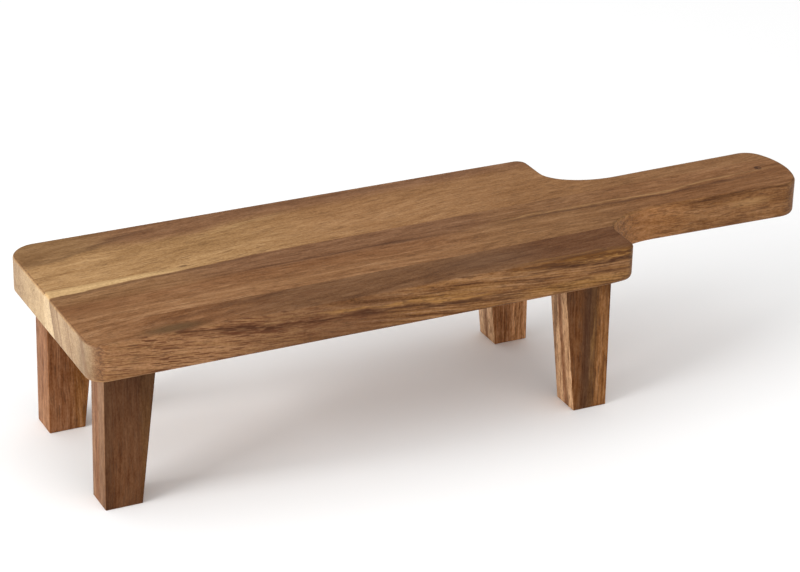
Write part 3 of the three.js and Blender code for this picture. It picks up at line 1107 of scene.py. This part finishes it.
# The front side: places along the board, then up from the floor
FRONT_SIDE_TONES = (
    (-240, "chestnut"), (-175, "chestnut"), (-125, "dusk"), (-75, "dusk"), (-35, "side_brown"),
    (95, "side_brown"),
)
PLAIN_SIDE_FIGURE = Strengths(0.45, 0.35, 0.1, 0.1, 0.25)
MIDDLE_SIDE_FIGURE = Strengths(0.8, 0.85, 0.35, 0.35, 0.25)
RIGHT_SIDE_FIGURE = Strengths(0.55, 0.5, 0.35, 0.35, 0.25)
SIDE_PATCHES = (
    Spot("redwood", 0.3, (-88, 92), (26, 5.5), 0.6),
    Spot("olive_gold", 0.5, (-26, 99), (26, 2.4), 0.7),
    Spot("olive_gold", 1.0, (58, 90), (34, 2.8), 0.7),
)
UPPER_RIGHT = Region("olive_dark", 0.7, (-10, 50), (99, 105))
PLAIN_DASHES = Dashes("redwood", "honey", 0.9, 9.0, 0.3)
LONG_DASHES = Dashes("streak", "gold", 0.6, 18.0, 0.3)
CORNER_DASHES = Dashes("olive_dark", "gold", 0.9, 4.5, 0.6)
LONG_STREAK = (
    (-206, 109), (-185, 106.4), (-170, 104.7), (-150, 102), (-135, 99.8), (-115, 98.4), (-95, 98), (-62, 96)
)
UPPER_GOLD = ((-118, 103.5), (-85, 100.8), (-55, 99.2), (-20, 98))
LOWER_STREAK = ((-104, 100), (-75, 97.4), (-50, 96), (-30, 94), (0, 91.4), (32, 88))
GOLD_STREAK = ((-48, 97.4), (-30, 95.9), (-12, 95), (6, 94))
RIGHT_STREAK = ((18, 104.8), (45, 103.4), (62, 101.9), (80, 100.8), (125, 99.6))
RIGHT_TAIL = ((68, 101.8), (80, 100.8), (92, 100.2), (112, 99.8))
FOOT_STREAK = ((36, 90.6), (46, 90), (58, 89))
SIDE_STREAKS = (
    Streak("gold", 0.5, 1.1, 30, 0.6, UPPER_GOLD),
    Streak("redwood", 2.0, 1.6, 24, 1.0, LONG_STREAK),
    Streak("streak", 0.6, 1.0, 30, 0.8, LONG_STREAK),
    Streak("streak", 0.7, 1.3, 30, 0.85, LOWER_STREAK),
    Streak("gold", 0.4, 0.8, 16, 0.8, GOLD_STREAK),
    Streak("streak", 0.7, 1.0, 28, 1.0, RIGHT_STREAK),
    Streak("streak", 0.8, 0.9, 12, 1.0, RIGHT_TAIL),
    Streak("streak", 0.3, 0.7, 8, 0.6, FOOT_STREAK),
)
FRONT_GRAIN_HEIGHT = 0.00014


def front_side(stave):
    """The red tan front side, crossed by dark and golden streaks."""
    run, deep = stave.run, stave.deep
    side = stave.spots(stave.bands(run, FRONT_SIDE_TONES), deep, SIDE_PATCHES)
    plain, middle, right = (
        stave.shaded(side, figure) for figure in (PLAIN_SIDE_FIGURE, MIDDLE_SIDE_FIGURE, RIGHT_SIDE_FIGURE)
    )
    side = stave.blend(stave.ease(run, -110, -50), plain, middle)
    side = stave.blend(stave.ease(run, 30, 70), side, right)
    side = stave.regions(side, deep, (UPPER_RIGHT,))
    side = stave.dashed(side, stave.ease(run, -60, -150), PLAIN_DASHES)
    side = stave.dashed(side, stave.ease(run, -110, -20), LONG_DASHES)
    corner = stave.times(stave.ease(run, 40, 62), stave.between(deep, 101.5, 106, 1.0))
    side = stave.dashed(side, corner, CORNER_DASHES)
    return stave.streaks(side, stave.plus(deep, stave.times(stave.dip, 0.35)), SIDE_STREAKS)


def front_stave_finish(wood):
    """Dark umber on top, with a red tan front side."""
    stave = Grain(
        wood, "front_stave_oiled", ALONG_BOARD, pith=(-150.0, 240.0), seed=7.9, skew=-0.08, lean=0.06,
        curl=-0.00011,
    )
    run, across = stave.run, stave.across
    swayed = stave.plus(across, stave.times(stave.sway, 0.35))
    top = stave.shaded(stave.bands(run, FRONT_TOP_TONES), FRONT_TOP_FIGURE)
    top = stave.streaks(top, swayed, (CORNER_STREAK, EDGE_STREAK))
    top = stave.spots(top, swayed, (OLIVE_PATCH, SLATE_PATCH))
    top = stave.streaks(top, across, (EDGE_GOLD,))
    body = stave.blend(stave.ease(across, -66.8, -70.0), top, front_side(stave))
    body = stave.pored(body, wood.pore, 0.36)
    plain_end = stave.bands(across, FRONT_END_TONES)
    body = stave.sawn(body, plain_end, wood.handle_end, wood.corner_grey, WEDGE_DOWN, 0.5)
    # Painted highlight: a pale line along the rounded lower edge near the plain end's front corner
    painted_low_rim_highlight = stave.times(stave.stripe(stave.facing[2], *LOWER_EDGE_TURN), stave.ease(run, -200, -222))
    return stave.oiled(stave.lay(body, wood.honey, painted_low_rim_highlight, 0.5), grain_height=FRONT_GRAIN_HEIGHT)


# Streaks on the front right leg: places up the leg, then along the board
HEART_STREAK = Streak(
    "streak", 1.2, 2.0, 30, 0.62, ((-2, 74.5), (15, 72.6), (30, 70.5), (45, 69.4), (62, 70.4), (87, 71.5))
)
WAVY_LINE = Streak(
    "streak", 0.6, 1.0, 30, 0.62, ((-2, 79.2), (20, 77.6), (40, 73.6), (60, 74.4), (87, 75.6))
)
OLIVE_FLAME = Streak("gold", 0.4, 1.0, 16, 0.25, ((22, 76.5), (40, 74.6), (52, 75.2), (70, 77)))

# How strongly the growth shows in a leg of strength 1: layers, lines, figure and fibres, then clouds
LEG_FIGURE = (0.4, 0.6, 0.45, 0.35)
LEG_CLOUD = 0.3

# The growth of each leg: its seed, how long its marks are, how strong, how dark the shade painted on its
# top under the board is, its shades inward from the outer face and back from the front face, and its
# streaks
LegGrowth = namedtuple("LegGrowth", "seed span strength top_shade inward back streaks")
LEG_GROWTH = {
    "front_left": LegGrowth(
        2.7, 0.55, 0.9, 0.5,
        ((0, "leg_dark"), (8, "leg_brown"), (20, "leg_brown"), (24, "leg_olive"), (31, "leg_olive")),
        ((0, "leg_pink"), (7, "leg_pink"), (12, "leg_orange"), (20, "leg_pink")),
        (),
    ),
    "front_right": LegGrowth(
        6.6, 0.5, 1.3, 0.2,
        (
            (0, "leg_gold"), (7, "leg_gold"), (11, "leg_olive"), (15, "leg_dark"), (22, "leg_russet"),
            (31, "leg_brown"),
        ),
        (
            (0, "leg_tan"), (5, "leg_tan"), (8, "leg_orange"), (10, "leg_red"), (12, "leg_tan"),
            (20, "leg_tan"),
        ),
        (HEART_STREAK, WAVY_LINE, OLIVE_FLAME),
    ),
    "back_left": LegGrowth(
        10.5, 0.55, 1.1, 0.15,
        ((0, "leg_red"), (10, "leg_red"), (20, "leg_gold"), (31, "leg_red")),
        ((0, "leg_orange"), (10, "leg_orange"), (20, "leg_orange")),
        (),
    ),
    # Partly painted light: this leg's shades are lightened where the board shades its front
    "back_right": LegGrowth(
        14.4, 0.55, 1.4, 0.0,
        ((0, "leg_rust"), (9, "leg_rust"), (13, "leg_amber"), (31, "leg_amber")),
        ((0, "leg_tan"), (6, "leg_tan"), (10, "leg_orange"), (14, "leg_tan"), (20, "leg_tan")),
        (),
    ),
}


def leg_finish(wood, corner):
    """Upright grain with redder and darker growth, in each leg's own way."""
    growth = LEG_GROWTH[corner]
    low, high = (limit * TO_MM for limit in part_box(corner + "_leg"))
    name = corner + "_leg_oiled"
    leg = Grain(wood, name, UP_LEG, pith=(-140.0, 120.0), seed=growth.seed, span=growth.span)
    x, y, _ = leg.place
    swayed = leg.plus(x, leg.times(leg.sway, 0.3))
    inward = leg.minus(swayed, low.x) if low.x < 0 else leg.minus(high.x, swayed)
    back = leg.plus(leg.minus(y, low.y), leg.times(leg.dip, 0.3))
    body = leg.bands(inward, growth.inward)
    # Painted shade: each leg darkens towards its top, under the board that shades it
    body = leg.lay(body, wood.leg_shadow, leg.ease(leg.run, 12, 84), growth.top_shade)
    on_side = leg.ease(leg.work("ABSOLUTE", leg.facing[0]), 0.5, 0.85)
    body = leg.blend(on_side, body, leg.bands(back, growth.back))
    body = leg.shaded(body, (*(share * growth.strength for share in LEG_FIGURE), LEG_CLOUD))
    body = leg.lay(body, wood.leg_dark, leg.ease(leg.layers, 0.44, 0.3), 0.35 * growth.strength)
    body = leg.streaks(body, swayed, growth.streaks)
    body = leg.pored(body, wood.pore, 0.45)
    return leg.oiled(leg.sawn(body, wood.leg_tan, wood.leg_tan, wood.leg_brown, 0.3, 0.42))


# The dowels are plainer and duller than the oiled wood
BEECH_FIGURE = Strengths(0.15, 0.1, 0.2, 0.2, 0.1)
BEECH_ROUGHNESS = 0.6
BEECH_GRAIN_HEIGHT = 0.00006


def dowel_finish(wood):
    """Plain beech with fine flecks, left unfinished."""
    pin = Grain(wood, "dowel_beech", UP_LEG, pith=(40.0, 30.0), seed=11.3)
    body = pin.pored(pin.shaded(wood.beech, BEECH_FIGURE), wood.chestnut, 0.3)
    return pin.oiled(body, BEECH_ROUGHNESS, BEECH_GRAIN_HEIGHT)


# Stage


def lay_floor(setup):
    """A wide flat matt floor under the board."""
    shape = bmesh.new()
    bmesh.ops.create_grid(
        shape, x_segments=FLOOR_SQUARES, y_segments=FLOOR_SQUARES, size=setup.floor_size / 2
    )
    floor = solid("floor", shape)
    matt = {"Roughness": FLOOR_ROUGHNESS, "Specular IOR Level": FLOOR_SPECULAR}
    floor.data.materials.append(Finish("pale_floor").surface({"Base Color": setup.floor_colour, **matt}))


def hang_light(name, power, size, place):
    """A square soft light that shines from a place at the board."""
    lamp = bpy.data.lights.new(name, "AREA")
    lamp.shape = "SQUARE"
    lamp.size = size
    lamp.energy = power
    light = bpy.data.objects.new(name, lamp)
    light.location = place
    light.rotation_mode = "QUATERNION"
    light.rotation_quaternion = (Vector(LIGHT_TARGET) - Vector(place)).to_track_quat("-Z", "Y")
    bpy.context.scene.collection.objects.link(light)


def light_sky(strength):
    """Soft white light from all round, strongest overhead."""
    world = bpy.data.worlds.new("studio")
    world.use_nodes = True
    tree = world.node_tree
    sky = tree.nodes["Background"]
    sky.inputs["Color"].default_value = (1.0, 1.0, 1.0, 1.0)
    direction = tree.nodes.new("ShaderNodeTexCoord")
    height = tree.nodes.new("ShaderNodeSeparateXYZ")
    dome = tree.nodes.new("ShaderNodeMapRange")
    dome.interpolation_type = "SMOOTHSTEP"
    dome.inputs["From Min"].default_value, dome.inputs["From Max"].default_value = SKY_HEIGHTS
    dome.inputs["To Min"].default_value = SKY_LEVELS[0] * strength
    dome.inputs["To Max"].default_value = SKY_LEVELS[1] * strength
    tree.links.new(direction.outputs["Generated"], height.inputs[0])
    tree.links.new(height.outputs["Z"], dome.inputs["Value"])
    tree.links.new(dome.outputs["Result"], sky.inputs["Strength"])
    bpy.context.scene.world = world


def stand_camera(setup):
    """The camera, at the angle that the picture was taken from."""
    turn = setup.view_azimuth
    rise = setup.view_elevation
    right = Vector((math.cos(turn), math.sin(turn), 0.0))
    back = Vector((math.sin(turn) * math.cos(rise), -math.cos(turn) * math.cos(rise), math.sin(rise)))
    up = back.cross(right)
    rolled_right = right * math.cos(setup.view_roll) + up * math.sin(setup.view_roll)
    rolled_up = up * math.cos(setup.view_roll) - right * math.sin(setup.view_roll)
    lens = bpy.data.cameras.new("camera")
    lens.sensor_width = SENSOR_WIDTH
    lens.lens = setup.focal_length
    lens.clip_end = CAMERA_REACH
    camera = bpy.data.objects.new("camera", lens)
    stand = Matrix((rolled_right, rolled_up, back)).transposed().to_4x4()
    stand.translation = Vector(setup.view_point) + back * setup.view_distance
    camera.matrix_world = stand
    bpy.context.scene.collection.objects.link(camera)
    bpy.context.scene.camera = camera


# Operators


class SERVINGBOARD_OT_set_stage(bpy.types.Operator):
    """Lay the floor, hang the lights and stand the camera"""

    bl_idname = "servingboard.set_stage"
    bl_label = "Set Stage"

    def execute(self, context):
        setup = context.scene.serving_board.stage
        context.scene.view_settings.view_transform = "Standard"
        lay_floor(setup)
        light_sky(setup.sky)
        hang_light("key_light", setup.key_power, KEY_SIZE, KEY_PLACE)
        hang_light("fill_light", setup.fill_power, FILL_SIZE, FILL_PLACE)
        stand_camera(setup)
        return {"FINISHED"}


class SERVINGBOARD_OT_make_staves(bpy.types.Operator):
    """Make the three glued staves of the panel"""

    bl_idname = "servingboard.make_staves"
    bl_label = "Make Staves"

    def execute(self, context):
        board = context.scene.serving_board
        finishes = (back_stave_finish, centre_stave_finish, front_stave_finish)
        for name, finish in zip(STAVES, finishes):
            holes = dowel_holes(CORNERS, board.dowel)
            set_down("oiled_" + name, stave_shape(name, board.panel), finish(board.wood), name, holes)
        return {"FINISHED"}


class SERVINGBOARD_OT_make_legs(bpy.types.Operator):
    """Make the four tapered legs"""

    bl_idname = "servingboard.make_legs"
    bl_label = "Make Legs"

    def execute(self, context):
        board = context.scene.serving_board
        for corner in CORNERS:
            node = corner + "_leg"
            finish = leg_finish(board.wood, corner)
            holes = dowel_holes((corner,), board.dowel)
            set_down("oiled_" + node, leg_shape(node, board.leg), finish, node, holes)
        return {"FINISHED"}


class SERVINGBOARD_OT_make_dowels(bpy.types.Operator):
    """Make the eight dowel pins that hold the legs"""

    bl_idname = "servingboard.make_dowels"
    bl_label = "Make Dowels"

    def execute(self, context):
        board = context.scene.serving_board
        beech = dowel_finish(board.wood)
        for corner in CORNERS:
            for end in DOWEL_ENDS:
                node = f"{corner}_dowel_{end}"
                set_down("fluted_" + node, dowel_shape(node, board.dowel), beech, node)
        return {"FINISHED"}


STEPS = (
    SERVINGBOARD_OT_set_stage,
    SERVINGBOARD_OT_make_staves,
    SERVINGBOARD_OT_make_legs,
    SERVINGBOARD_OT_make_dowels,
)


class SERVINGBOARD_PT_sidebar(bpy.types.Panel):
    """Lists the steps that make the board"""

    bl_label = "Serving Board"
    bl_idname = "SERVINGBOARD_PT_sidebar"
    bl_space_type = "VIEW_3D"
    bl_region_type = "UI"
    bl_category = "Serving Board"

    def draw(self, context):
        for step in STEPS:
            self.layout.operator(step.bl_idname)
        for group in ("panel", "leg", "dowel", "wood", "stage"):
            settings = getattr(context.scene.serving_board, group)
            box = self.layout.box()
            box.label(text=group.capitalize())
            for setting in settings.bl_rna.properties:
                if setting.identifier not in ("rna_type", "name"):
                    box.prop(settings, setting.identifier)


SETTINGS = (PanelSizes, LegSizes, DowelSizes, WoodColours, StageSetup, ServingBoard)
CLASSES = (*SETTINGS, *STEPS, SERVINGBOARD_PT_sidebar)


def register():
    for made in CLASSES:
        bpy.utils.register_class(made)
    bpy.types.Scene.serving_board = PointerProperty(type=ServingBoard)


def unregister():
    del bpy.types.Scene.serving_board
    for made in reversed(CLASSES):
        bpy.utils.unregister_class(made)


def main():
    """Makes the stage and every piece."""
    register()
    bpy.ops.servingboard.set_stage()
    bpy.ops.servingboard.make_staves()
    bpy.ops.servingboard.make_legs()
    bpy.ops.servingboard.make_dowels()


if __name__ == "__main__":
    main()
